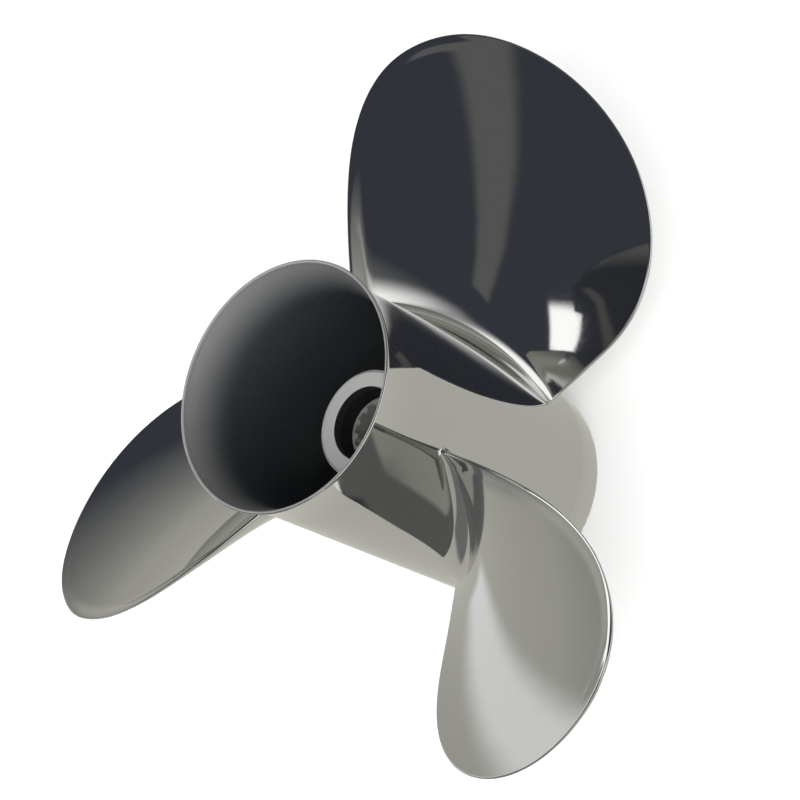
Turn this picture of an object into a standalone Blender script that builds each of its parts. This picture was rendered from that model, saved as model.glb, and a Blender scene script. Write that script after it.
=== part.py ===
# Polished stainless steel boat propeller with three blades and a through-hub exhaust.
# It stands on the front rim of its barrel, with the shaft's axis on Z and +Z pointing aft.
# Lengths are in metres and angles in radians unless a name says degrees.
import math

import bpy
import numpy as np

# The whole propeller
TIP_RADIUS = 0.14765
LENGTH = 0.1358
BLADE_COUNT = 3
FIRST_BLADE_DEG = 90.0
GAP = 0.0003

# Barrel, measured from the front rim
RIM_RADIUS = 0.0458
FLARE_START_Z = 0.1130
FLARE_START_RADIUS = 0.04264
CREASE_Z = 0.0135
CREASE_RADIUS = 0.0420
FRONT_RADIUS = 0.03955
BARREL_BORE = 0.0396
FRONT_BORE = 0.0370
FRONT_BORE_Z = 0.0060
BARREL_BORE_Z = 0.0100
FRONT_CHAMFER = 0.0008
LIP_THICKNESS = 0.0013
ROUND_STEPS = 72

# Inner hub, bush and sleeve
HUB_RADIUS = 0.0199
HUB_AFT_Z = 0.0895
HUB_FRONT_Z = 0.0090
HUB_BORE = 0.0162
HUB_LIP_BORE = 0.01364
HUB_LIP_LENGTH = 0.0040
HUB_CHAMFER = 0.0008
HUB_FRONT_CHAMFER = 0.0015
BUSH_FRONT_Z = 0.0125
BUSH_DISH = 0.0015
BUSH_STEPS = 48
SLEEVE_RADIUS = 0.0124
SLEEVE_FRONT_Z = 0.0105
SLEEVE_AFT_Z = 0.0808
SLEEVE_CHAMFER = 0.0004
SPLINE_COUNT = 13
SPLINE_ROOT_RADIUS = 0.0113
SPLINE_CREST_RADIUS = 0.0099
SPLINE_CREST_SHARES = (0.60, 0.90)
SPLINE_ROOT_SHARE = 0.50

# Ribs between the inner hub and the barrel
RIB_THICKNESS = 0.0040
RIB_FRONT_Z = 0.0120
RIB_AFT_Z = 0.0550
RIB_NOSE = 0.0020
RIB_GAP = 0.0004

# Blade: how far each edge lies ahead of its middle line at the root, and how it sweeps back to the tip
LEADING_ROOT_DEG = 32.0
TRAILING_ROOT_DEG = -35.5
TIP_DEG = -12.5
LEADING_LEVEL_SHARE = 0.15
LEADING_SWEEP_SPAN = 1.10
TRAILING_SWEEP_POWER = 2.1
MIDDLE_HEIGHT = 0.0549
RAKE = 0.1185
RAKE_GROWTH = 0.70
PITCH = 0.3392
PITCH_GROWTH = 0.0668
PITCH_FALL = 4.26
CAMBER = 0.0125
ROOT_THICKNESS = 0.0078
TIP_THICKNESS = 0.0016
EDGE_THICKNESS = 0.0012
CUP_DEPTH = 0.0016
CUP_WIDTH = 0.0050
FACE_FILLET = 0.0080
EDGE_FILLET = 0.0015
BLADE_ROWS = 14
BLADE_FIRST_STATION = 0.05
BLADE_LAST_STATION = 0.97
BLADE_COLUMNS = 14
FILLET_ROWS = 4
FOOT_STRIPS = 6
FOOT_GAP = 0.0004


def clear_scene():
    for thing in list(bpy.data.objects):
        bpy.data.objects.remove(thing, do_unlink=True)


def make_material(name, colour, roughness, metallic):
    material = bpy.data.materials.new(name)
    material.use_nodes = True
    shader = material.node_tree.nodes["Principled BSDF"]
    shader.inputs["Base Color"].default_value = (*colour, 1.0)
    shader.inputs["Roughness"].default_value = roughness
    shader.inputs["Metallic"].default_value = metallic
    return material


def make_solid(name, points, faces, material, smooth=True):
    mesh = bpy.data.meshes.new(name)
    mesh.from_pydata([tuple(p) for p in points], [], faces)
    mesh.materials.append(material)
    solid = bpy.data.objects.new(name, mesh)
    bpy.context.collection.objects.link(solid)
    if smooth:
        mesh.shade_smooth()
        mesh.set_sharp_from_angle(angle=math.radians(30))
    return solid


def turn_profile(name, profile, material, steps=ROUND_STEPS):
    """Turn a closed outline of (radius, height) points about Z, listed anticlockwise."""
    points = []
    faces = []
    count = len(profile)
    for step in range(steps):
        angle = 2 * math.pi * step / steps
        for radius, height in profile:
            points.append((radius * math.cos(angle), radius * math.sin(angle), height))
    for step in range(steps):
        here = step * count
        there = (step + 1) % steps * count
        for i in range(count):
            j = (i + 1) % count
            faces.append((here + i, there + i, there + j, here + j))
    return make_solid(name, points, faces, material)


def barrel_radius(height):
    """Outside radius of the barrel behind the crease, before the flare."""
    share = (height - CREASE_Z) / (FLARE_START_Z - CREASE_Z)
    return CREASE_RADIUS + (FLARE_START_RADIUS - CREASE_RADIUS) * share


def build_barrel(material):
    outer = [(FRONT_RADIUS - FRONT_CHAMFER, 0.0), (FRONT_RADIUS, FRONT_CHAMFER)]
    for share in (1 / 3, 2 / 3, 1.0):
        bulge = math.sin(share * math.pi / 2)
        outer.append((FRONT_RADIUS + (CREASE_RADIUS - FRONT_RADIUS) * bulge, CREASE_Z * share))
    outer.append((FLARE_START_RADIUS, FLARE_START_Z))
    lip = LIP_THICKNESS / 2
    lip_z = LENGTH - lip
    flare_rise = RIM_RADIUS - FLARE_START_RADIUS
    flare_length = lip_z - FLARE_START_Z
    for step in range(1, 6):
        share = step / 5
        outer.append((FLARE_START_RADIUS + flare_rise * share ** 2, FLARE_START_Z + flare_length * share))
    for degrees in (45, 90, 135):
        angle = math.radians(degrees)
        outer.append((RIM_RADIUS - lip + lip * math.cos(angle), lip_z + lip * math.sin(angle)))
    inner_rise = RIM_RADIUS - LIP_THICKNESS - BARREL_BORE
    inner = []
    for step in range(4, -1, -1):
        share = step / 4
        inner.append((BARREL_BORE + inner_rise * share ** 2, FLARE_START_Z + flare_length * share))
    inner.append((BARREL_BORE, BARREL_BORE_Z))
    inner.append((FRONT_BORE, FRONT_BORE_Z))
    inner.append((FRONT_BORE, 0.0))
    return turn_profile("barrel", outer + inner, material)


def build_inner_hub(material):
    profile = [
        (HUB_BORE + HUB_FRONT_CHAMFER, HUB_FRONT_Z),
        (HUB_RADIUS - HUB_CHAMFER, HUB_FRONT_Z),
        (HUB_RADIUS, HUB_FRONT_Z + HUB_CHAMFER),
        (HUB_RADIUS, HUB_AFT_Z - HUB_CHAMFER),
        (HUB_RADIUS - HUB_CHAMFER, HUB_AFT_Z),
        (HUB_LIP_BORE, HUB_AFT_Z),
        (HUB_LIP_BORE, HUB_AFT_Z - HUB_LIP_LENGTH),
        (HUB_BORE, HUB_AFT_Z - HUB_LIP_LENGTH),
        (HUB_BORE, HUB_FRONT_Z + HUB_FRONT_CHAMFER),
    ]
    return turn_profile("inner_hub", profile, material)


def build_bush(material):
    outside = HUB_BORE - GAP
    inside = SLEEVE_RADIUS + GAP
    aft = HUB_AFT_Z - HUB_LIP_LENGTH - GAP
    profile = [
        (inside, BUSH_FRONT_Z + BUSH_DISH),
        (outside - BUSH_DISH, BUSH_FRONT_Z),
        (outside, BUSH_FRONT_Z + BUSH_DISH),
        (outside, aft),
        (outside - BUSH_DISH, aft),
        (inside, SLEEVE_AFT_Z - BUSH_DISH),
    ]
    return turn_profile("rubber_bush", profile, material, steps=BUSH_STEPS)


def spline_outline():
    """One turn of the splined bore as (angle, radius): root, flank, crest, flank."""
    outline = []
    tooth = 2 * math.pi / SPLINE_COUNT
    for number in range(SPLINE_COUNT):
        start = number * tooth
        outline.append((start, SPLINE_ROOT_RADIUS))
        outline.append((start + SPLINE_ROOT_SHARE * tooth, SPLINE_ROOT_RADIUS))
        for share in SPLINE_CREST_SHARES:
            outline.append((start + share * tooth, SPLINE_CREST_RADIUS))
    return outline


def build_sleeve(material):
    outline = spline_outline()
    count = len(outline)
    rings = [
        (None, SLEEVE_FRONT_Z),
        (SLEEVE_RADIUS - SLEEVE_CHAMFER, SLEEVE_FRONT_Z),
        (SLEEVE_RADIUS, SLEEVE_FRONT_Z + SLEEVE_CHAMFER),
        (SLEEVE_RADIUS, SLEEVE_AFT_Z - SLEEVE_CHAMFER),
        (SLEEVE_RADIUS - SLEEVE_CHAMFER, SLEEVE_AFT_Z),
        (None, SLEEVE_AFT_Z),
    ]
    points = []
    for fixed_radius, height in rings:
        for angle, radius in outline:
            reach = radius if fixed_radius is None else fixed_radius
            points.append((reach * math.cos(angle), reach * math.sin(angle), height))
    faces = []
    for ring in range(len(rings)):
        here = ring * count
        there = (ring + 1) % len(rings) * count
        for i in range(count):
            j = (i + 1) % count
            faces.append((here + i, here + j, there + j, there + i))
    return make_solid("splined_sleeve", points, faces, material)


def build_rib(number, angle, material):
    inner = HUB_RADIUS + RIB_GAP
    outer = BARREL_BORE - RIB_GAP
    half = RIB_THICKNESS / 2
    outline = [
        (-half, RIB_FRONT_Z + RIB_NOSE),
        (-half / 2, RIB_FRONT_Z),
        (half / 2, RIB_FRONT_Z),
        (half, RIB_FRONT_Z + RIB_NOSE),
        (half, RIB_AFT_Z - RIB_NOSE),
        (half / 2, RIB_AFT_Z),
        (-half / 2, RIB_AFT_Z),
        (-half, RIB_AFT_Z - RIB_NOSE),
    ]
    count = len(outline)
    points = []
    for reach in (inner, outer):
        for across, height in outline:
            along = math.sqrt(reach ** 2 - across ** 2)
            x = along * math.cos(angle) - across * math.sin(angle)
            y = along * math.sin(angle) + across * math.cos(angle)
            points.append((x, y, height))
    faces = [tuple(reversed(range(count))), tuple(range(count, 2 * count))]
    for i in range(count):
        j = (i + 1) % count
        faces.append((i, j, count + j, count + i))
    return make_solid(f"rib_{number}", points, faces, material)


def leading_lead(station):
    """Angle of the leading edge ahead of the middle line: level at the root, then swept back to the tip."""
    swept = np.clip((np.asarray(station) - LEADING_LEVEL_SHARE) / LEADING_SWEEP_SPAN, 0.0, 1.0)
    at_tip = (1.0 - LEADING_LEVEL_SHARE) / LEADING_SWEEP_SPAN
    share = (3.0 - 2.0 * swept) * swept ** 2 / ((3.0 - 2.0 * at_tip) * at_tip ** 2)
    return np.radians(LEADING_ROOT_DEG + (TIP_DEG - LEADING_ROOT_DEG) * share)


def trailing_lead(station):
    """Angle of the trailing edge ahead of the middle line, which it nears ever faster towards the tip."""
    share = np.clip(station, 0.0, None) ** TRAILING_SWEEP_POWER
    return np.radians(TRAILING_ROOT_DEG + (TIP_DEG - TRAILING_ROOT_DEG) * share)


def pressure_height(reach, lead):
    """Height of the blade's aft face at a distance from the axis and an angle of lead."""
    beyond = reach - barrel_radius(MIDDLE_HEIGHT)
    middle = MIDDLE_HEIGHT + RAKE * beyond + RAKE_GROWTH * beyond ** 2
    pitch = PITCH + PITCH_GROWTH * beyond - PITCH_FALL * beyond ** 2
    return middle - pitch * lead / (2 * math.pi) + CAMBER * lead ** 2


def offset_loop(loop, distances):
    """Move each point of a closed flat loop outwards by its own distance."""
    ahead = np.roll(loop, -1, axis=0)
    behind = np.roll(loop, 1, axis=0)
    along = ahead - behind
    along = along / np.linalg.norm(along, axis=1)[:, None]
    outward = np.stack([along[:, 1], -along[:, 0]], axis=1)
    return loop + outward * distances[:, None]


def column_shares():
    """Places across the blade, 0 at the trailing edge and 1 at the leading edge, closer together at both."""
    turns = np.linspace(0.0, math.pi, BLADE_COLUMNS + 1)
    return 0.5 - 0.5 * np.cos(turns)


def blade_loop(station, reach):
    """Section of the blade at one distance from the axis, as (arc, height) points."""
    ahead = leading_lead(station)
    behind = trailing_lead(station)
    share = column_shares()
    lead = behind + (ahead - behind) * share
    arc = reach * lead
    face = pressure_height(reach, lead)
    slope = np.gradient(face, arc)
    from_trailing = (arc - arc[0]) * np.sqrt(1 + slope ** 2)
    cup = np.clip(1 - from_trailing / CUP_WIDTH, 0.0, 1.0) ** 2
    face = face + CUP_DEPTH * cup
    along = np.stack([np.gradient(arc), np.gradient(face)], axis=1)
    along = along / np.linalg.norm(along, axis=1)[:, None]
    forward = np.stack([along[:, 1], -along[:, 0]], axis=1)
    fullest = TIP_THICKNESS + (ROOT_THICKNESS - TIP_THICKNESS) * (1 - station) ** 1.2
    body = (4 * share * (1 - share)) ** 0.8
    thickness = EDGE_THICKNESS + (fullest - EDGE_THICKNESS) * body
    aft_side = np.stack([arc, face], axis=1)
    front_side = aft_side + forward * thickness[:, None]
    return np.concatenate([front_side, aft_side[::-1]])


def place_on_barrel(flat, reach, angle):
    """Wrap flat (arc, height) points round the barrel at a distance from the axis."""
    turn = angle - flat[:, 0] / reach
    height = flat[:, 1]
    local = reach + barrel_radius(height) - barrel_radius(MIDDLE_HEIGHT) + FOOT_GAP
    return np.stack([local * np.cos(turn), local * np.sin(turn), height], axis=1)


def blade_sections():
    """Flat sections from the root fillet out to the tip, each with its distance from the axis."""
    root = barrel_radius(MIDDLE_HEIGHT)
    share = column_shares()
    size = EDGE_FILLET + (FACE_FILLET - EDGE_FILLET) * 4 * share * (1 - share)
    size = np.concatenate([size, size[::-1]])
    lifts = [FACE_FILLET * (row / FILLET_ROWS) ** 2 for row in range(FILLET_ROWS)]
    for station in np.linspace(BLADE_FIRST_STATION, BLADE_LAST_STATION, BLADE_ROWS):
        lifts.append((TIP_RADIUS - root) * (1 - (1 - station) ** 2))
    sections = []
    for lift in lifts:
        station = 1 - math.sqrt(1 - lift / (TIP_RADIUS - root))
        loop = blade_loop(station, root + lift)
        left = np.clip(size - lift, 0.0, None)
        loop = offset_loop(loop, size - np.sqrt(size ** 2 - left ** 2))
        sections.append((loop, root + lift))
    return sections


def build_blade(number, angle, material):
    sections = blade_sections()
    points = [place_on_barrel(loop, reach, angle) for loop, reach in sections]
    count = len(sections[0][0])
    faces = []
    for ring in range(len(sections) - 1):
        here = ring * count
        there = here + count
        for i in range(count):
            j = (i + 1) % count
            faces.append((here + i, there + i, there + j, here + j))

    side = count // 2
    foot, foot_reach = sections[0]
    front_side = foot[:side]
    aft_side = foot[side:][::-1]
    strips = [[i for i in range(side)]]
    total = len(sections) * count
    for share in np.arange(1, FOOT_STRIPS) / FOOT_STRIPS:
        between = front_side + (aft_side - front_side) * share
        points.append(place_on_barrel(between, foot_reach, angle))
        strips.append([total + i for i in range(side)])
        total += side
    strips.append([count - 1 - i for i in range(side)])
    for low, high in zip(strips, strips[1:]):
        for i in range(side - 1):
            faces.append((low[i], low[i + 1], high[i + 1], high[i]))
    faces.append(tuple(strip[0] for strip in strips))
    faces.append(tuple(strip[-1] for strip in reversed(strips)))

    tip_lead = leading_lead(1.0)
    tip_height = pressure_height(TIP_RADIUS, tip_lead) - TIP_THICKNESS / 2
    tip_turn = angle - tip_lead
    points.append([(TIP_RADIUS * math.cos(tip_turn), TIP_RADIUS * math.sin(tip_turn), tip_height)])
    last = (len(sections) - 1) * count
    for i in range(count):
        j = (i + 1) % count
        faces.append((last + j, last + i, total))
    return make_solid(f"blade_{number}", np.concatenate(points), faces, material)


clear_scene()
steel = make_material("polished_steel", (0.62, 0.62, 0.61), 0.08, 1.0)
turned = make_material("machined_steel", (0.66, 0.66, 0.64), 0.3, 1.0)
rubber = make_material("black_rubber", (0.02, 0.02, 0.02), 0.7, 0.0)
sleeve_metal = make_material("sleeve_steel", (0.60, 0.60, 0.56), 0.35, 1.0)

build_barrel(steel)
build_inner_hub(turned)
build_bush(rubber)
build_sleeve(sleeve_metal)
for index in range(BLADE_COUNT):
    blade_angle = math.radians(FIRST_BLADE_DEG + index * 360 / BLADE_COUNT)
    build_blade(index + 1, blade_angle, steel)
    build_rib(index + 1, blade_angle, steel)
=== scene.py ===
import math

import bpy
import numpy as np
from mathutils import Matrix, Vector


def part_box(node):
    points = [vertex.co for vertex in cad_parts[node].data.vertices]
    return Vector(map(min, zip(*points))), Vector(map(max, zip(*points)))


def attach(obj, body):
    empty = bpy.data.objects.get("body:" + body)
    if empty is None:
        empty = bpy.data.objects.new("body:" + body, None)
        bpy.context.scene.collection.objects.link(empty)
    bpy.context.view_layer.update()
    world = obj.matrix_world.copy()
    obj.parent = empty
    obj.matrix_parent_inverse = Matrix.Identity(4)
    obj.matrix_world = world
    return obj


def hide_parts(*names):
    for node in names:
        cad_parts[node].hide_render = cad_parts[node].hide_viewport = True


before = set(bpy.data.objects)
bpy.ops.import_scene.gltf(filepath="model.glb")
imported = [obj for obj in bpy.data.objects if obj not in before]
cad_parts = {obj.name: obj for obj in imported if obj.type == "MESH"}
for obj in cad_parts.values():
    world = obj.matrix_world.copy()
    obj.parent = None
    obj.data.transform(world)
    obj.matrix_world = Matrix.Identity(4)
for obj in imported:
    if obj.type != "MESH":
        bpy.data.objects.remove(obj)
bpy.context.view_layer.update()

collection = bpy.context.scene.collection

# Barrel
# The tube that carries the blades and lets the exhaust out aft. It is cast in stainless steel with
# the blades, then ground and buffed to a mirror outside, and left satin inside. Its aft end flares
# into a rounded lip, and its front end tapers in over a short nose band to a flat rim.
barrel_low, barrel_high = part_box("barrel")
LENGTH = barrel_high[2] - barrel_low[2]
RIM_RADIUS = (barrel_high[0] - barrel_low[0]) / 2
LIP_RADIUS = 0.00065
FLARE_START_Z = 0.1130
FLARE_START_RADIUS = 0.04264
CREASE_Z = 0.0135
CREASE_RADIUS = 0.0420
FRONT_RADIUS = 0.03955
BARREL_BORE = 0.0396
FRONT_BORE = 0.0370
BARREL_STEPS = 256
POLISHED_STEEL_COLOUR = (0.60, 0.60, 0.59, 1.0)
POLISHED_ROUGHNESS = 0.035
# Painted shade: inside the barrel the cast steel is painted very dark deep down and lighter towards the
# mouth, and the ribs and hub in there take the dark end.
MOUTH_COLOUR = (0.20, 0.20, 0.20, 1.0)
CAST_SHADE_COLOUR = (0.045, 0.053, 0.060, 1.0)
CAST_ROUGHNESS = 0.5
# Painted highlight: the top of the lip is a plain grey non-metal, which the bright room lights into a light
# line.
LIP_HIGHLIGHT_COLOUR = (0.21, 0.21, 0.207, 1.0)
# Painted shade: full below the first height, faded to the mouth colour above the second.
FULL_SHADE_BELOW_Z = 0.114
MOUTH_ABOVE_Z = 0.137


def new_material(name, colour, metallic, roughness):
    material = bpy.data.materials.new(name)
    material.use_nodes = True
    shader = material.node_tree.nodes["Principled BSDF"]
    shader.inputs["Base Color"].default_value = colour
    shader.inputs["Metallic"].default_value = metallic
    shader.inputs["Roughness"].default_value = roughness
    return material


def link_piece(name, mesh, *materials):
    for material in materials:
        mesh.materials.append(material)
    piece = bpy.data.objects.new(name, mesh)
    collection.objects.link(piece)
    return piece


def barrel_radius(height):
    """Outside radius of the barrel between the crease and the flare."""
    share = (height - CREASE_Z) / (FLARE_START_Z - CREASE_Z)
    return CREASE_RADIUS + (FLARE_START_RADIUS - CREASE_RADIUS) * share


def arc_points(centre_radius, centre_z, radius, start_deg, end_deg, steps):
    """Points on an arc in the (radius, height) plane."""
    angles = np.radians(np.linspace(start_deg, end_deg, steps + 1))
    return [(centre_radius + radius * math.cos(a), centre_z + radius * math.sin(a)) for a in angles]


def turned_mesh(name, profile, steps):
    """Turn a closed outline of (radius, height) points about Z. Each face keeps its outline edge's number."""
    radii, heights = np.array(profile).T
    turns = 2 * math.pi * np.arange(steps) / steps
    x = np.outer(np.cos(turns), radii)
    y = np.outer(np.sin(turns), radii)
    z = np.tile(heights, (steps, 1))
    points = np.stack([x, y, z], axis=2).reshape(-1, 3)
    count = len(profile)
    faces = []
    for step in range(steps):
        here = step * count
        there = (step + 1) % steps * count
        for i in range(count):
            j = (i + 1) % count
            faces.append((here + i, there + i, there + j, here + j))
    mesh = bpy.data.meshes.new(name)
    mesh.from_pydata(points.tolist(), [], faces)
    mesh.shade_smooth()
    return mesh


def surface_marks_group():
    """Slow waves and fine marks of hand finishing: a roughness that varies, and a normal."""
    group = bpy.data.node_groups.new("surface_marks", "ShaderNodeTree")
    group.interface.new_socket("Position", in_out="INPUT", socket_type="NodeSocketVector")
    for name in ("Roughness", "Roughness Spread", "Wave Size", "Wave Depth", "Mark Size", "Mark Depth"):
        group.interface.new_socket(name, in_out="INPUT", socket_type="NodeSocketFloat")
    group.interface.new_socket("Roughness", in_out="OUTPUT", socket_type="NodeSocketFloat")
    group.interface.new_socket("Normal", in_out="OUTPUT", socket_type="NodeSocketVector")
    start = group.nodes.new("NodeGroupInput")
    end = group.nodes.new("NodeGroupOutput")
    link = group.links.new

    def noise(size, detail):
        scale = group.nodes.new("ShaderNodeMath")
        scale.operation = "DIVIDE"
        scale.inputs[0].default_value = 1.0
        link(start.outputs[size], scale.inputs[1])
        texture = group.nodes.new("ShaderNodeTexNoise")
        texture.inputs["Detail"].default_value = detail
        link(start.outputs["Position"], texture.inputs["Vector"])
        link(scale.outputs["Value"], texture.inputs["Scale"])
        return texture.outputs["Fac"]

    def bump(height, depth, normal):
        node = group.nodes.new("ShaderNodeBump")
        node.inputs["Strength"].default_value = 1.0
        link(height, node.inputs["Height"])
        link(start.outputs[depth], node.inputs["Distance"])
        if normal is not None:
            link(normal, node.inputs["Normal"])
        return node.outputs["Normal"]

    waves = noise("Wave Size", 1.0)
    marks = noise("Mark Size", 3.0)
    waved = bump(waves, "Wave Depth", None)
    link(bump(marks, "Mark Depth", waved), end.inputs["Normal"])
    spread = group.nodes.new("ShaderNodeMapRange")
    spread.inputs["From Min"].default_value = 0.35
    spread.inputs["From Max"].default_value = 0.65
    link(marks, spread.inputs["Value"])
    link(start.outputs["Roughness"], spread.inputs["To Min"])
    rougher = group.nodes.new("ShaderNodeMath")
    rougher.operation = "ADD"
    link(start.outputs["Roughness"], rougher.inputs[0])
    link(start.outputs["Roughness Spread"], rougher.inputs[1])
    link(rougher.outputs["Value"], spread.inputs["To Max"])
    link(spread.outputs["Result"], end.inputs["Roughness"])
    return group


surface_marks = surface_marks_group()


def add_marks(material, spread, wave_size, wave_depth, mark_size, mark_depth):
    """Give a material the surface marks, in metres, over the roughness that it has."""
    tree = material.node_tree
    shader = tree.nodes["Principled BSDF"]
    place = tree.nodes.new("ShaderNodeTexCoord")
    marks = tree.nodes.new("ShaderNodeGroup")
    marks.node_tree = surface_marks
    tree.links.new(place.outputs["Object"], marks.inputs["Position"])
    marks.inputs["Roughness"].default_value = shader.inputs["Roughness"].default_value
    marks.inputs["Roughness Spread"].default_value = spread
    marks.inputs["Wave Size"].default_value = wave_size
    marks.inputs["Wave Depth"].default_value = wave_depth
    marks.inputs["Mark Size"].default_value = mark_size
    marks.inputs["Mark Depth"].default_value = mark_depth
    tree.links.new(marks.outputs["Roughness"], shader.inputs["Roughness"])
    tree.links.new(marks.outputs["Normal"], shader.inputs["Normal"])


def paint_shade_by_height(material, low_z, low_colour, high_z, high_colour):
    """Fade the base colour from one to another along the barrel, to paint shade that darkens the inside
    deeper down.
    """
    tree = material.node_tree
    place = tree.nodes.new("ShaderNodeTexCoord")
    parts = tree.nodes.new("ShaderNodeSeparateXYZ")
    tree.links.new(place.outputs["Object"], parts.inputs["Vector"])
    share = tree.nodes.new("ShaderNodeMapRange")
    share.interpolation_type = "SMOOTHSTEP"
    share.inputs["From Min"].default_value = low_z
    share.inputs["From Max"].default_value = high_z
    tree.links.new(parts.outputs["Z"], share.inputs["Value"])
    mix = tree.nodes.new("ShaderNodeMix")
    mix.data_type = "RGBA"
    mix.inputs[6].default_value = low_colour
    mix.inputs[7].default_value = high_colour
    tree.links.new(share.outputs["Result"], mix.inputs["Factor"])
    tree.links.new(mix.outputs[2], tree.nodes["Principled BSDF"].inputs["Base Color"])


polished_steel = new_material("polished_steel", POLISHED_STEEL_COLOUR, 1.0, POLISHED_ROUGHNESS)
add_marks(polished_steel, 0.03, 0.022, 0.00005, 0.0012, 0.0000015)
# Painted shade: this cast steel is painted dark deep in the barrel and lighter near the mouth.
cast_steel_painted_shade = new_material("cast_steel_painted_shade", CAST_SHADE_COLOUR, 0.5, CAST_ROUGHNESS)
add_marks(cast_steel_painted_shade, 0.15, 0.006, 0.0001, 0.0010, 0.00006)
paint_shade_by_height(cast_steel_painted_shade, FULL_SHADE_BELOW_Z, CAST_SHADE_COLOUR, MOUTH_ABOVE_Z, MOUTH_COLOUR)
# Painted highlight: a grey non-metal finish for the lip's top, so that it shows as a bright line.
lip_painted_highlight = new_material("lip_painted_highlight", LIP_HIGHLIGHT_COLOUR, 0.0, 0.30)
add_marks(lip_painted_highlight, 0.12, 0.006, 0.00002, 0.0008, 0.000004)

nose_edge = 0.0008
nose = arc_points(FRONT_RADIUS - nose_edge, nose_edge, nose_edge, -90, 0, 5)
nose_rise = CREASE_RADIUS - FRONT_RADIUS
crease_turn = math.radians(60.0)
for share in np.linspace(0.15, 1.0, 14):
    bulge = math.sin(share * crease_turn) / math.sin(crease_turn)
    nose.append((FRONT_RADIUS + nose_rise * bulge, CREASE_Z * share))
crease_width = 0.0006
body = [(barrel_radius(z), z) for z in np.linspace(CREASE_Z + crease_width, FLARE_START_Z, 24)]
lip_z = LENGTH - LIP_RADIUS
flare_rise = RIM_RADIUS - FLARE_START_RADIUS
flare_length = lip_z - FLARE_START_Z
flare = []
for share in np.linspace(0.0, 1.0, 21)[1:]:
    flare.append((FLARE_START_RADIUS + flare_rise * share ** 2, FLARE_START_Z + flare_length * share))
lip = arc_points(RIM_RADIUS - LIP_RADIUS, lip_z, LIP_RADIUS, 0, 180, 14)[1:]
mouth_rise = RIM_RADIUS - 2 * LIP_RADIUS - BARREL_BORE
mouth = []
for share in np.linspace(1.0, 0.0, 17)[1:]:
    mouth.append((BARREL_BORE + mouth_rise * share ** 2, FLARE_START_Z + flare_length * share))
inside = [(BARREL_BORE, 0.0100), (FRONT_BORE, 0.0060)]
front_edge = arc_points(FRONT_BORE + 0.0005, 0.0005, 0.0005, 180, 270, 4)
profile = nose + body + flare + lip + mouth + inside + front_edge
barrel_mesh = turned_mesh("barrel_shell", profile, BARREL_STEPS)
barrel_shell = link_piece("barrel_shell", barrel_mesh, polished_steel, cast_steel_painted_shade, lip_painted_highlight)
first_lip = len(nose + body + flare) + 4
first_inside = len(nose + body + flare + lip) - 4
# The lip's top takes the painted highlight, and the mouth and inside take the painted shade.
for number, face in enumerate(barrel_mesh.polygons):
    edge = number % len(profile)
    if edge >= first_inside:
        face.material_index = 1
    elif edge >= first_lip:
        face.material_index = 2
barrel_mesh.set_sharp_from_angle(angle=math.radians(25))
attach(barrel_shell, "root")
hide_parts("barrel")

# Blades
# Three like blades, cast in one with the barrel and ground to a mirror: wide, skewed back, slightly
# raked, with a cupped trailing edge, thin rounded edges and a fillet where each grows out of the barrel.
TIP_RADIUS = 0.14765
BLADE_COUNT = 3
FIRST_BLADE_DEG = 90.0
LEADING_ROOT_DEG = 32.0
TRAILING_ROOT_DEG = -35.5
TIP_DEG = -12.5
LEADING_LEVEL_SHARE = 0.15
LEADING_SWEEP_SPAN = 1.10
TRAILING_SWEEP_POWER = 2.1
MIDDLE_HEIGHT = 0.0549
RAKE = 0.1185
RAKE_GROWTH = 0.70
PITCH = 0.3392
PITCH_GROWTH = 0.0668
PITCH_FALL = 4.26
CAMBER = 0.0125
ROOT_THICKNESS = 0.0078
TIP_THICKNESS = 0.0016
EDGE_THICKNESS = 0.0014
CUP_SLOPE = 0.28
CUP_WIDTH = 0.0050
CUP_CORNER = 0.0012
TRAILING_ROLL = 0.0036
ROLL_STATIONS = (0.12, 0.92)
CUP_FADE = (0.58, 0.86)
FACE_FILLET = 0.0080
EDGE_FILLET = 0.0015
FOOT_DEPTH = 0.0010
EDGE_COLUMNS = 7
CUP_COLUMNS = 9
FACE_COLUMNS = 80
FILLET_ROWS = 22
BLADE_ROWS = 96
ROOT_RADIUS = barrel_radius(MIDDLE_HEIGHT)


def leading_lead(station):
    """Angle of the leading edge ahead of the middle line: level at the root, then swept back to the tip."""
    swept = np.clip((np.asarray(station) - LEADING_LEVEL_SHARE) / LEADING_SWEEP_SPAN, 0.0, 1.0)
    at_tip = (1.0 - LEADING_LEVEL_SHARE) / LEADING_SWEEP_SPAN
    share = (3.0 - 2.0 * swept) * swept ** 2 / ((3.0 - 2.0 * at_tip) * at_tip ** 2)
    return np.radians(LEADING_ROOT_DEG + (TIP_DEG - LEADING_ROOT_DEG) * share)


def trailing_lead(station):
    """Angle of the trailing edge ahead of the middle line, which it nears ever faster towards the tip."""
    share = np.clip(station, 0.0, None) ** TRAILING_SWEEP_POWER
    return np.radians(TRAILING_ROOT_DEG + (TIP_DEG - TRAILING_ROOT_DEG) * share)


def station_of(reach):
    """How far out along the blade a distance from the axis is, 0 at the root and 1 at the tip."""
    left = np.clip((TIP_RADIUS - reach) / (TIP_RADIUS - ROOT_RADIUS), 0.0, None)
    return 1.0 - np.sqrt(left)


def face_height(reach, lead):
    """Height of the aft face, without its cup."""
    beyond = reach - ROOT_RADIUS
    middle = MIDDLE_HEIGHT + RAKE * beyond + RAKE_GROWTH * beyond ** 2
    pitch = PITCH + PITCH_GROWTH * beyond - PITCH_FALL * beyond ** 2
    return middle - pitch * lead / (2 * math.pi) + CAMBER * lead ** 2


outline_stations = np.linspace(-0.08, 1.0, 300)
outline_reach = ROOT_RADIUS + (TIP_RADIUS - ROOT_RADIUS) * (1.0 - (1.0 - outline_stations) ** 2)


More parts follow.
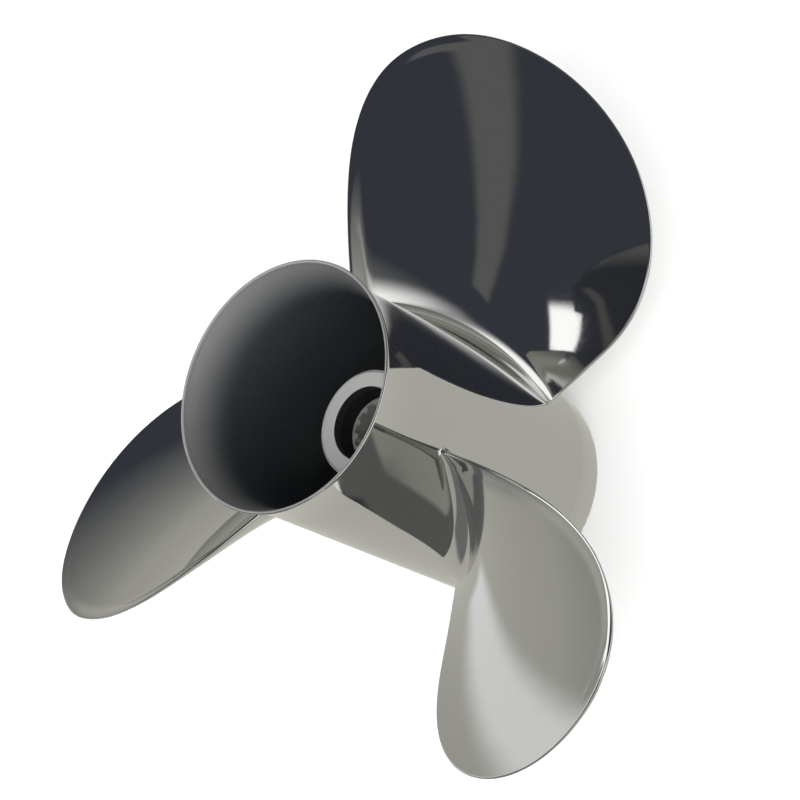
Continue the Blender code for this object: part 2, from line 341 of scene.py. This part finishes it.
def outline_of(edge_lead):
    """Points along an edge of the blade, on the aft face's surface."""
    lead = edge_lead(outline_stations)
    height = face_height(outline_reach, lead)
    return np.stack([outline_reach * np.cos(lead), outline_reach * np.sin(lead), height], 1)


leading_outline = outline_of(leading_lead)
trailing_outline = outline_of(trailing_lead)


def distance_to(outline, reach, lead):
    """Shortest distance from points of the aft face to an edge of the blade."""
    points = np.stack([reach * np.cos(lead), reach * np.sin(lead), face_height(reach, lead)], -1)
    starts = outline[:-1]
    runs = outline[1:] - starts
    offsets = points[..., None, :] - starts
    along = (offsets * runs).sum(axis=-1) / (runs * runs).sum(axis=-1)
    offsets = offsets - np.clip(along, 0.0, 1.0)[..., None] * runs
    return np.linalg.norm(offsets, axis=-1).min(axis=-1)


def blade_point(reach, share, side):
    """Flat (arc, height) point of the blade's surface: side is 1 for the aft face and -1 for the front."""
    station = station_of(reach)
    ahead = leading_lead(station)
    behind = trailing_lead(station)
    lead = behind + (ahead - behind) * share
    step = 1e-5
    slope = (face_height(reach, lead + step) - face_height(reach, lead - step)) / (2 * step * reach)
    from_trailing = distance_to(trailing_outline, reach, lead)
    from_leading = distance_to(leading_outline, reach, lead)
    fade = np.clip((CUP_FADE[1] - station) / (CUP_FADE[1] - CUP_FADE[0]), 0.0, 1.0)
    slant = CUP_SLOPE * fade ** 2 * (3 - 2 * fade)
    cupped = np.maximum(CUP_WIDTH - from_trailing, -CUP_CORNER)
    turning = (cupped + CUP_CORNER) ** 2 / (4 * CUP_CORNER)
    cup = slant * np.where(cupped < CUP_CORNER, turning, cupped)
    fullest = TIP_THICKNESS + (ROOT_THICKNESS - TIP_THICKNESS) * (1 - station) ** 1.2
    body = (4 * share * (1 - share)) ** 0.8
    thickness = EDGE_THICKNESS + (fullest - EDGE_THICKNESS) * body
    along = np.clip((station - ROLL_STATIONS[0]) / (ROLL_STATIONS[1] - ROLL_STATIONS[0]), 0.0, 1.0)
    rolled = TRAILING_ROLL * np.sin(math.pi * along) ** 2 * (side > 0)
    edge_radius = EDGE_THICKNESS / 2
    inwards = np.minimum(from_leading / edge_radius, from_trailing / (edge_radius + rolled))
    inwards = np.clip(inwards, 0.0, 1.0)
    rounding = np.sqrt(1.0 - (1.0 - inwards) ** 2)
    shift = -thickness / 2 + side * thickness / 2 * rounding
    length = np.sqrt(1 + slope ** 2)
    arc = reach * lead - slope / length * shift
    height = face_height(reach, lead) + cup + shift / length
    return arc, height


def spread_columns():
    """Places across the blade from trailing to leading edge, close together at both edges."""
    edge_share = 0.018
    cup_share = 0.050
    quarter = np.linspace(0.0, math.pi / 2, EDGE_COLUMNS + 1)
    start = edge_share * (1 - np.cos(quarter))
    start = np.concatenate([start, np.linspace(edge_share, cup_share, CUP_COLUMNS + 1)[1:]])
    middle = np.linspace(cup_share, 1 - cup_share, FACE_COLUMNS + 1)[1:-1]
    return np.concatenate([start, middle, 1 - start[::-1]])


columns = spread_columns()
loop_share = np.concatenate([columns, columns[::-1][1:-1]])
loop_side = np.concatenate([-np.ones(len(columns)), np.ones(len(columns) - 2)])
loop_count = len(loop_share)
loop_side[0] = 0.0
loop_side[len(columns) - 1] = 0.0
fillet_fullness = np.clip(4 * loop_share * (1 - loop_share), 0, 1) ** 0.7
fillet_size = EDGE_FILLET + (FACE_FILLET - EDGE_FILLET) * fillet_fullness

rings = []
fillet_turns = (math.pi / 2) * np.linspace(0.0, 1.0, FILLET_ROWS + 1) ** 1.4
for turn in fillet_turns:
    reach = ROOT_RADIUS + fillet_size * (1 - math.cos(turn))
    spread = fillet_size * (1 - math.sin(turn))
    arc, height = blade_point(reach, loop_share, loop_side)
    loop = np.stack([arc, height], 1)
    along = np.roll(loop, -1, axis=0) - np.roll(loop, 1, axis=0)
    along = along / np.linalg.norm(along, axis=1)[:, None]
    outward = np.stack([along[:, 1], -along[:, 0]], 1)
    loop = loop + outward * spread[:, None]
    rings.append((reach, loop))
foot_reach, foot_loop = rings[0]
rings.insert(0, (foot_reach - FOOT_DEPTH, foot_loop))
for station in np.linspace(0.0, 1.0, BLADE_ROWS + 1)[1:-1]:
    start = ROOT_RADIUS + fillet_size
    reach = start + (TIP_RADIUS - start) * (1 - (1 - station) ** 2)
    arc, height = blade_point(reach, loop_share, loop_side)
    rings.append((reach, np.stack([arc, height], 1)))

blade_points = []
for reach, loop in rings:
    lead = loop[:, 0] / np.maximum(reach, ROOT_RADIUS)
    local = reach + barrel_radius(loop[:, 1]) - ROOT_RADIUS
    blade_points.append(np.stack([local * np.cos(-lead), local * np.sin(-lead), loop[:, 1]], 1))
tip_lead = leading_lead(1.0)
tip_height = float(face_height(TIP_RADIUS, tip_lead)) - EDGE_THICKNESS / 2
tip_point = (TIP_RADIUS * math.cos(tip_lead), -TIP_RADIUS * math.sin(tip_lead), tip_height)
blade_points.append(np.array([tip_point]))
blade_faces = []
for ring in range(len(rings) - 1):
    here = ring * loop_count
    there = here + loop_count
    for i in range(loop_count):
        j = (i + 1) % loop_count
        blade_faces.append((here + i, there + i, there + j, here + j))
tip_index = len(rings) * loop_count
last = tip_index - loop_count
for i in range(loop_count):
    j = (i + 1) % loop_count
    blade_faces.append((last + j, last + i, tip_index))
side_count = len(columns)
for i in range(side_count - 1):
    low, high = i, i + 1
    far_low, far_high = (loop_count - i) % loop_count, loop_count - i - 1
    face = (low, high, far_high, far_low)
    if i == 0:
        face = (low, high, far_high)
    if high == far_high:
        face = (low, high, far_low)
    blade_faces.append(face)
blade_mesh = bpy.data.meshes.new("blade_master")
blade_mesh.from_pydata(np.concatenate(blade_points).tolist(), [], blade_faces)
blade_mesh.shade_smooth()
blade_mesh.set_sharp_from_angle(angle=math.radians(50))
for number in range(BLADE_COUNT):
    turn = math.radians(FIRST_BLADE_DEG + number * 360 / BLADE_COUNT)
    copy = blade_mesh.copy()
    copy.transform(Matrix.Rotation(turn, 4, "Z"))
    blade = link_piece(f"blade_skin_{number + 1}", copy, polished_steel)
    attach(blade, "root")
    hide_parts(f"blade_{number + 1}")

# Inner hub
# A thick tube in the middle of the barrel, cast with it. Its aft end is turned to a bright flat ring
# with a small chamfer outside, and its bore is wider behind the ring to hold the rubber bush.
HUB_RADIUS = 0.0199
HUB_AFT_Z = 0.0895
HUB_FRONT_Z = 0.0090
HUB_BORE = 0.0162
HUB_LIP_BORE = 0.01364
HUB_LIP_LENGTH = 0.0040
HUB_CHAMFER = 0.0008
HUB_STEPS = 160
TURNED_STEEL_COLOUR = (0.80, 0.80, 0.77, 1.0)
TURNING_PITCH = 0.00035
turned_steel = new_material("turned_steel", TURNED_STEEL_COLOUR, 0.4, 0.36)
turned_tree = turned_steel.node_tree
turned_shader = turned_tree.nodes["Principled BSDF"]
turned_place = turned_tree.nodes.new("ShaderNodeTexCoord")
tool_rings = turned_tree.nodes.new("ShaderNodeTexWave")
tool_rings.wave_type = "RINGS"
tool_rings.rings_direction = "Z"
tool_rings.inputs["Scale"].default_value = 0.314 / TURNING_PITCH
tool_rings.inputs["Distortion"].default_value = 0.6
turned_tree.links.new(turned_place.outputs["Object"], tool_rings.inputs["Vector"])
ring_bump = turned_tree.nodes.new("ShaderNodeBump")
ring_bump.inputs["Strength"].default_value = 1.0
ring_bump.inputs["Distance"].default_value = 0.00002
turned_tree.links.new(tool_rings.outputs["Fac"], ring_bump.inputs["Height"])
turned_tree.links.new(ring_bump.outputs["Normal"], turned_shader.inputs["Normal"])

ring_edge = 0.0003
hub_profile = [
    (HUB_BORE + 0.0015, HUB_FRONT_Z),
    (HUB_RADIUS - HUB_CHAMFER, HUB_FRONT_Z),
    (HUB_RADIUS, HUB_FRONT_Z + HUB_CHAMFER),
    (HUB_RADIUS, HUB_AFT_Z - HUB_CHAMFER),
    (HUB_RADIUS - HUB_CHAMFER, HUB_AFT_Z - ring_edge),
    (HUB_RADIUS - HUB_CHAMFER - ring_edge, HUB_AFT_Z),
    (HUB_LIP_BORE + ring_edge, HUB_AFT_Z),
    (HUB_LIP_BORE, HUB_AFT_Z - ring_edge),
    (HUB_LIP_BORE, HUB_AFT_Z - HUB_LIP_LENGTH),
    (HUB_BORE, HUB_AFT_Z - HUB_LIP_LENGTH),
    (HUB_BORE, HUB_FRONT_Z + 0.0015),
]
hub_mesh = turned_mesh("hub_tube", hub_profile, HUB_STEPS)
# The hub's cast faces sit deep in the barrel and take its dark painted shade.
hub_tube = link_piece("hub_tube", hub_mesh, turned_steel, cast_steel_painted_shade)
turned_edges = (0, 3, 4, 5, 6)
for number, face in enumerate(hub_mesh.polygons):
    face.material_index = 0 if number % len(hub_profile) in turned_edges else 1
hub_mesh.set_sharp_from_angle(angle=math.radians(25))
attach(hub_tube, "root")
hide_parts("inner_hub")

# Rubber bush
# A thick black rubber ring, moulded round the splined sleeve and pressed into the inner hub. It
# slips if a blade strikes something, and its ends are dished.
SLEEVE_RADIUS = 0.0124
SLEEVE_FRONT_Z = 0.0105
SLEEVE_AFT_Z = 0.0808
BUSH_FRONT_Z = 0.0125
BUSH_GAP = 0.0003
BUSH_DISH = 0.0015
black_rubber = new_material("black_rubber", (0.012, 0.012, 0.012, 1.0), 0.0, 0.6)
add_marks(black_rubber, 0.2, 0.004, 0.00005, 0.0006, 0.00004)
bush_outside = HUB_BORE - BUSH_GAP
bush_inside = SLEEVE_RADIUS + BUSH_GAP
bush_aft = HUB_AFT_Z - HUB_LIP_LENGTH - BUSH_GAP
bush_profile = [
    (bush_inside, BUSH_FRONT_Z + BUSH_DISH),
    (bush_outside - BUSH_DISH, BUSH_FRONT_Z),
    (bush_outside, BUSH_FRONT_Z + BUSH_DISH),
    (bush_outside, bush_aft),
    (bush_outside - BUSH_DISH, bush_aft),
    (bush_inside, SLEEVE_AFT_Z - BUSH_DISH),
]
bush_mesh = turned_mesh("bush_ring", bush_profile, HUB_STEPS)
bush_mesh.set_sharp_from_angle(angle=math.radians(40))
bush_ring = link_piece("bush_ring", bush_mesh, black_rubber)
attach(bush_ring, "root")
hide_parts("rubber_bush")

# Splined sleeve
# A steel sleeve that slides on the propeller shaft, its straight splines broached right through.
SPLINE_COUNT = 13
SPLINE_ROOT_RADIUS = 0.0113
SPLINE_CREST_RADIUS = 0.0099
SLEEVE_CHAMFER = 0.0004
sleeve_steel = new_material("sleeve_steel", (0.42, 0.42, 0.39, 1.0), 0.4, 0.35)
add_marks(sleeve_steel, 0.15, 0.004, 0.00002, 0.0005, 0.00001)


def geometry_tree(name):
    tree = bpy.data.node_groups.new(name, "GeometryNodeTree")
    tree.interface.new_socket("Geometry", in_out="INPUT", socket_type="NodeSocketGeometry")
    tree.interface.new_socket("Geometry", in_out="OUTPUT", socket_type="NodeSocketGeometry")
    start = tree.nodes.new("NodeGroupInput")
    end = tree.nodes.new("NodeGroupOutput")
    return tree, start, end


def ring_tree(name, material):
    """A tree that repeats its input round Z: inputs Count and First Angle."""
    tree, start, end = geometry_tree(name)
    tree.interface.new_socket("Count", in_out="INPUT", socket_type="NodeSocketInt")
    tree.interface.new_socket("First Angle", in_out="INPUT", socket_type="NodeSocketFloat")
    link = tree.links.new
    line = tree.nodes.new("GeometryNodeMeshLine")
    line.mode = "OFFSET"
    line.inputs["Offset"].default_value = (0.0, 0.0, 0.0)
    link(start.outputs["Count"], line.inputs["Count"])
    copies = tree.nodes.new("GeometryNodeInstanceOnPoints")
    link(line.outputs["Mesh"], copies.inputs["Points"])
    link(start.outputs["Geometry"], copies.inputs["Instance"])
    number = tree.nodes.new("GeometryNodeInputIndex")
    share = tree.nodes.new("ShaderNodeMath")
    share.operation = "DIVIDE"
    link(number.outputs["Index"], share.inputs[0])
    link(start.outputs["Count"], share.inputs[1])
    turn = tree.nodes.new("ShaderNodeMath")
    turn.operation = "MULTIPLY_ADD"
    turn.inputs[1].default_value = 2 * math.pi
    link(share.outputs["Value"], turn.inputs[0])
    link(start.outputs["First Angle"], turn.inputs[2])
    about = tree.nodes.new("ShaderNodeCombineXYZ")
    link(turn.outputs["Value"], about.inputs["Z"])
    link(about.outputs["Vector"], copies.inputs["Rotation"])
    real = tree.nodes.new("GeometryNodeRealizeInstances")
    link(copies.outputs["Instances"], real.inputs["Geometry"])
    weld = tree.nodes.new("GeometryNodeMergeByDistance")
    weld.inputs["Distance"].default_value = 0.000005
    link(real.outputs["Geometry"], weld.inputs["Geometry"])
    paint = tree.nodes.new("GeometryNodeSetMaterial")
    paint.inputs["Material"].default_value = material
    link(weld.outputs["Geometry"], paint.inputs["Geometry"])
    link(paint.outputs["Geometry"], end.inputs["Geometry"])
    return tree


def socket_identifier(tree, name):
    for item in tree.interface.items_tree:
        if item.item_type == "SOCKET" and item.in_out == "INPUT" and item.name == name:
            return item.identifier
    raise KeyError(name)


def repeated_mesh(name, one, tree, count, first_angle):
    """Run the ring tree on one mesh and hand back the plain mesh of all its copies."""
    holder = bpy.data.objects.new(f"{name}_one", one)
    collection.objects.link(holder)
    modifier = holder.modifiers.new("ring", "NODES")
    modifier.node_group = tree
    modifier[socket_identifier(tree, "Count")] = count
    modifier[socket_identifier(tree, "First Angle")] = first_angle
    graph = bpy.context.evaluated_depsgraph_get()
    mesh = bpy.data.meshes.new_from_object(holder.evaluated_get(graph), depsgraph=graph)
    mesh.name = name
    bpy.data.objects.remove(holder, do_unlink=True)
    return mesh


tooth = 2 * math.pi / SPLINE_COUNT
TOOTH_ROUNDING = 0.0002
near_root = SPLINE_ROOT_RADIUS - TOOTH_ROUNDING
near_crest = SPLINE_CREST_RADIUS + TOOTH_ROUNDING
tooth_outline = [(share, SPLINE_ROOT_RADIUS) for share in (0.0, 0.18, 0.36, 0.46)]
tooth_outline += [(0.49, near_root), (0.57, near_crest)]
tooth_outline += [(share, SPLINE_CREST_RADIUS) for share in (0.60, 0.75, 0.90)]
tooth_outline += [(0.93, near_crest), (0.99, near_root), (1.0, SPLINE_ROOT_RADIUS)]
sleeve_rings = [
    (0.0, SLEEVE_CHAMFER, SLEEVE_FRONT_Z + SLEEVE_CHAMFER),
    (0.0, 0.0, SLEEVE_FRONT_Z),
    (SLEEVE_RADIUS - SLEEVE_CHAMFER, 0.0, SLEEVE_FRONT_Z),
    (SLEEVE_RADIUS, 0.0, SLEEVE_FRONT_Z + SLEEVE_CHAMFER),
    (SLEEVE_RADIUS, 0.0, SLEEVE_AFT_Z - SLEEVE_CHAMFER),
    (SLEEVE_RADIUS - SLEEVE_CHAMFER, 0.0, SLEEVE_AFT_Z),
    (0.0, SLEEVE_CHAMFER, SLEEVE_AFT_Z),
    (0.0, 0.0, SLEEVE_AFT_Z - SLEEVE_CHAMFER),
]
tooth_points = []
for fixed, extra, height in sleeve_rings:
    for share, radius in tooth_outline:
        reach = fixed if fixed else radius + extra
        tooth_points.append((reach * math.cos(share * tooth), reach * math.sin(share * tooth), height))
tooth_faces = []
across = len(tooth_outline)
for ring in range(len(sleeve_rings)):
    here = ring * across
    there = (ring + 1) % len(sleeve_rings) * across
    for i in range(across - 1):
        tooth_faces.append((here + i, here + i + 1, there + i + 1, there + i))
tooth_mesh = bpy.data.meshes.new("spline_tooth")
tooth_mesh.from_pydata(tooth_points, [], tooth_faces)
spline_ring = ring_tree("spline_ring", sleeve_steel)
sleeve_mesh = repeated_mesh("spline_sleeve", tooth_mesh, spline_ring, SPLINE_COUNT, 0.0)
sleeve_mesh.shade_smooth()
sleeve_mesh.set_sharp_from_angle(angle=math.radians(30))
sleeve = bpy.data.objects.new("spline_sleeve", sleeve_mesh)
collection.objects.link(sleeve)
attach(sleeve, "root")
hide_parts("splined_sleeve")

# Ribs
# Three thin ribs, cast with the hub and the barrel, hold the hub in the middle of the exhaust way.
RIB_THICKNESS = 0.0040
RIB_FRONT_Z = 0.0120
RIB_AFT_Z = 0.0550
RIB_SINK = 0.0010
RIB_FLARE = 0.0030
RIB_FLARE_REACH = 0.0016
rib_rows = 24
rib_outline_steps = 10
rib_rounding = arc_points(0.0, 0.0, 1.0, -90, 90, rib_outline_steps)
rib_points = []
rib_inner = HUB_RADIUS - RIB_SINK
rib_outer = BARREL_BORE + RIB_SINK
for row in range(rib_rows + 1):
    reach = rib_inner + (rib_outer - rib_inner) * row / rib_rows
    to_wall = min(reach - HUB_RADIUS, BARREL_BORE - reach)
    flare = RIB_FLARE * math.exp(-max(to_wall, 0.0) / RIB_FLARE_REACH)
    half = RIB_THICKNESS / 2 + flare
    front = RIB_FRONT_Z - flare + RIB_THICKNESS / 2
    aft = RIB_AFT_Z + flare - RIB_THICKNESS / 2
    for along, across_share in rib_rounding:
        rib_points.append((reach, half * across_share, aft + along * RIB_THICKNESS / 2))
    for along, across_share in rib_rounding:
        rib_points.append((reach, -half * across_share, front - along * RIB_THICKNESS / 2))
rib_across = 2 * len(rib_rounding)
rib_end = rib_rows * rib_across
rib_faces = [tuple(range(rib_across)), tuple(reversed(range(rib_end, rib_end + rib_across)))]
for row in range(rib_rows):
    here = row * rib_across
    there = here + rib_across
    for i in range(rib_across):
        j = (i + 1) % rib_across
        rib_faces.append((here + i, there + i, there + j, here + j))
rib_mesh = bpy.data.meshes.new("rib_one")
rib_mesh.from_pydata(rib_points, [], rib_faces)
# The ribs sit deep in the barrel and take its dark painted shade.
rib_ring = ring_tree("rib_ring", cast_steel_painted_shade)
ribs_mesh = repeated_mesh("ribs", rib_mesh, rib_ring, BLADE_COUNT, math.radians(FIRST_BLADE_DEG))
ribs_mesh.shade_smooth()
ribs_mesh.set_sharp_from_angle(angle=math.radians(50))
ribs = bpy.data.objects.new("ribs", ribs_mesh)
collection.objects.link(ribs)
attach(ribs, "root")
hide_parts("rib_1", "rib_2", "rib_3")

# Floor, lights and camera
# A plain pale floor, soft panels round the propeller, and the camera at the photograph's angle.
CAMERA_TARGET = Vector((0.0286, 0.0138, 0.1098))
CAMERA_DISTANCE = 1.1421
CAMERA_AZIMUTH = 2.08
CAMERA_ELEVATION = 48.18
CAMERA_ROLL = -65.0
CAMERA_LENS = 149.49
FLOOR_HALF = 4.0

floor_mesh = bpy.data.meshes.new("floor")
floor_corners = [(x * FLOOR_HALF, y * FLOOR_HALF, 0) for x, y in ((-1, -1), (1, -1), (1, 1), (-1, 1))]
floor_mesh.from_pydata(floor_corners, [], [(0, 1, 2, 3)])
floor = link_piece("floor", floor_mesh, new_material("floor_paint", (0.97, 0.97, 0.97, 1.0), 0.0, 0.8))
floor.visible_glossy = False

# To the eye and the floor the room is white, with a brighter side that shades the mouth of the barrel.
# Polished steel sees a plain room instead, with a few softboxes, two tubes and a card in it.
# A panel: azimuth, elevation and tilt in degrees, half its width, half its height and its soft edge as seen
# from 1 m away, and its brightness. Each one stands in front of those listed before it.
FILL_WHITE = 0.75
KEY_WHITE = 4.4
KEY_PANEL = (-25, 30, 0, 0.5, 0.45, 0.6)
FLOOR_COLOUR = (0.64, 0.63, 0.57)
WALL_COLOUR = (0.46, 0.46, 0.42)
CEILING_COLOUR = (0.05, 0.055, 0.07)
WALL_RISE = 0.1
CEILING_RISE = 0.6
# The front softbox stands low before the propeller, the left one is a small window, the back one and the
# back tube draw the light streaks, and the side card is a grey board that darkens the barrel.
FRONT_SOFTBOX = (0, 15, 0, 0.8, 0.2, 0.2, 1.5)
LEFT_SOFTBOX = (-70, 50, 0, 0.15, 0.06, 0.04, 1.6)
BACK_SOFTBOX = (-150, 35, 0, 0.15, 0.35, 0.05, 1.6)
CEILING_TUBE = (-60, 80, -30, 0.8, 0.05, 0.05, 0.14)
BACK_TUBE = (-165, 10, 10, 0.03, 0.6, 0.08, 0.9)
SIDE_CARD = (-110, 5, 0, 0.4, 0.5, 0.15, 0.20)
STUDIO_PANELS = (SIDE_CARD, FRONT_SOFTBOX, LEFT_SOFTBOX, BACK_SOFTBOX, CEILING_TUBE, BACK_TUBE)


def soft_panel_group():
    """How much of a view direction a soft-edged rectangular panel fills, from 0 to 1."""
    group = bpy.data.node_groups.new("soft_panel", "ShaderNodeTree")
    for name in ("Direction", "Turn"):
        group.interface.new_socket(name, in_out="INPUT", socket_type="NodeSocketVector")
    for name in ("Half Width", "Half Height", "Soft Edge"):
        group.interface.new_socket(name, in_out="INPUT", socket_type="NodeSocketFloat")
    group.interface.new_socket("Mask", in_out="OUTPUT", socket_type="NodeSocketFloat")
    start = group.nodes.new("NodeGroupInput")
    end = group.nodes.new("NodeGroupOutput")
    link = group.links.new

    def maths(operation, first, second=None):
        node = group.nodes.new("ShaderNodeMath")
        node.operation = operation
        link(first, node.inputs[0])
        if second is not None:
            link(second, node.inputs[1])
        return node.outputs["Value"]

    def inside(offset, half):
        fade = group.nodes.new("ShaderNodeMapRange")
        fade.interpolation_type = "SMOOTHSTEP"
        fade.inputs["To Min"].default_value = 1.0
        fade.inputs["To Max"].default_value = 0.0
        link(maths("ABSOLUTE", offset), fade.inputs["Value"])
        link(half, fade.inputs["From Min"])
        link(maths("ADD", half, start.outputs["Soft Edge"]), fade.inputs["From Max"])
        return fade.outputs["Result"]

    facing = group.nodes.new("ShaderNodeVectorRotate")
    facing.rotation_type = "EULER_XYZ"
    facing.invert = True
    link(start.outputs["Direction"], facing.inputs["Vector"])
    link(start.outputs["Turn"], facing.inputs["Rotation"])
    parts = group.nodes.new("ShaderNodeSeparateXYZ")
    link(facing.outputs["Vector"], parts.inputs["Vector"])
    in_front = group.nodes.new("ShaderNodeMath")
    in_front.operation = "GREATER_THAN"
    in_front.inputs[1].default_value = 0.001
    link(parts.outputs["X"], in_front.inputs[0])
    across = inside(maths("DIVIDE", parts.outputs["Y"], parts.outputs["X"]), start.outputs["Half Width"])
    along = inside(maths("DIVIDE", parts.outputs["Z"], parts.outputs["X"]), start.outputs["Half Height"])
    mask = maths("MULTIPLY", maths("MULTIPLY", across, along), in_front.outputs["Value"])
    link(mask, end.inputs["Mask"])
    return group


world = bpy.data.worlds.new("studio")
bpy.context.scene.world = world
bpy.context.scene.view_settings.view_transform = "Standard"
world.use_nodes = True
world.cycles.sampling_method = "NONE"
room = world.node_tree
room.nodes.clear()
place = room.nodes.new("ShaderNodeTexCoord")
parts = room.nodes.new("ShaderNodeSeparateXYZ")
room.links.new(place.outputs["Generated"], parts.inputs["Vector"])
height = room.nodes.new("ShaderNodeMapRange")
height.inputs["From Min"].default_value = -1.0
room.links.new(parts.outputs["Z"], height.inputs["Value"])
ramp = room.nodes.new("ShaderNodeValToRGB")
room.links.new(height.outputs["Result"], ramp.inputs["Fac"])
ramp.color_ramp.elements.new(0.5)
room_colours = ((-1.0, FLOOR_COLOUR), (WALL_RISE, WALL_COLOUR), (CEILING_RISE, CEILING_COLOUR))
for element, (rise, colour) in zip(ramp.color_ramp.elements, room_colours):
    element.position = (rise + 1) / 2
    element.color = (*colour, 1.0)
panel_group = soft_panel_group()


def panel_mask(azimuth, elevation, tilt, half_width, half_height, soft_edge):
    panel = room.nodes.new("ShaderNodeGroup")
    panel.node_tree = panel_group
    room.links.new(place.outputs["Generated"], panel.inputs["Direction"])
    turn = [math.radians(tilt), math.radians(-elevation), math.radians(azimuth)]
    panel.inputs["Turn"].default_value = turn
    panel.inputs["Half Width"].default_value = half_width
    panel.inputs["Half Height"].default_value = half_height
    panel.inputs["Soft Edge"].default_value = soft_edge
    return panel.outputs["Mask"]


def stand_in_front(mask, behind, colour):
    mix = room.nodes.new("ShaderNodeMix")
    mix.data_type = "RGBA"
    room.links.new(mask, mix.inputs["Factor"])
    room.links.new(behind, mix.inputs[6])
    mix.inputs[7].default_value = (*colour, 1.0)
    return mix.outputs[2]


key_fill = room.nodes.new("ShaderNodeMix")
key_fill.data_type = "RGBA"
key_fill.inputs[6].default_value = (FILL_WHITE, FILL_WHITE, FILL_WHITE, 1.0)
key_fill.inputs[7].default_value = (KEY_WHITE, KEY_WHITE, KEY_WHITE, 1.0)
room.links.new(panel_mask(*KEY_PANEL), key_fill.inputs["Factor"])
rays = room.nodes.new("ShaderNodeLightPath")
seen = ramp.outputs["Color"]
for *shape, brightness in STUDIO_PANELS:
    seen = stand_in_front(panel_mask(*shape), seen, (brightness, brightness, brightness))
reflected = room.nodes.new("ShaderNodeBackground")
room.links.new(seen, reflected.inputs["Color"])
white = room.nodes.new("ShaderNodeBackground")
room.links.new(key_fill.outputs[2], white.inputs["Color"])
chosen = room.nodes.new("ShaderNodeMixShader")
room.links.new(rays.outputs["Is Glossy Ray"], chosen.inputs["Fac"])
room.links.new(white.outputs["Background"], chosen.inputs[1])
room.links.new(reflected.outputs["Background"], chosen.inputs[2])
sky = room.nodes.new("ShaderNodeOutputWorld")
room.links.new(chosen.outputs["Shader"], sky.inputs["Surface"])

camera_data = bpy.data.cameras.new("camera")
camera_data.lens = CAMERA_LENS
camera_data.sensor_width = 36.0
camera_data.clip_end = 20.0
camera = bpy.data.objects.new("camera", camera_data)
collection.objects.link(camera)
turn = Matrix.Rotation(math.radians(CAMERA_AZIMUTH + 90), 4, "Z")
tilt = Matrix.Rotation(math.radians(90 - CAMERA_ELEVATION), 4, "X")
roll = Matrix.Rotation(math.radians(CAMERA_ROLL), 4, "Z")
away = Matrix.Translation((0, 0, CAMERA_DISTANCE))
camera.matrix_world = Matrix.Translation(CAMERA_TARGET) @ turn @ tilt @ away @ roll
bpy.context.scene.camera = camera
